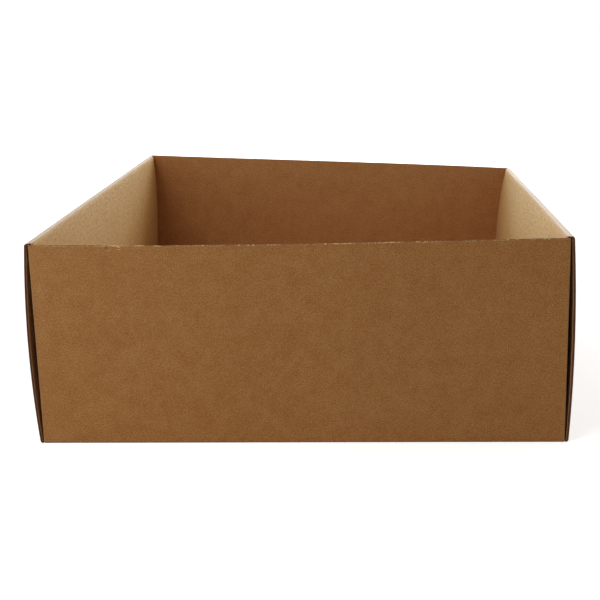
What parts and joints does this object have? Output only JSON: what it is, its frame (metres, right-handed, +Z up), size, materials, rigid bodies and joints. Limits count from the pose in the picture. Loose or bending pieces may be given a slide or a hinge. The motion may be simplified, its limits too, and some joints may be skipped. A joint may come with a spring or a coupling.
{
  "type": "cardboard tray box",
  "caption": "Open cardboard tray folded from one sheet of corrugated board, with rolled-over double side walls that close over tuck flaps and lock into the base.",
  "frame": {"origin": "middle of the base's underside, on the floor", "axes": "+X to the right along the front panel, +Y from the front panel to the back panel, +Z up from the base"},
  "size_m": [0.3632, 0.4, 0.147],
  "materials": {
    "kraft_board": "matt"
  },
  "bodies": {
    "root": {"tray": "kraft_board"}
  },
  "joints": []
}
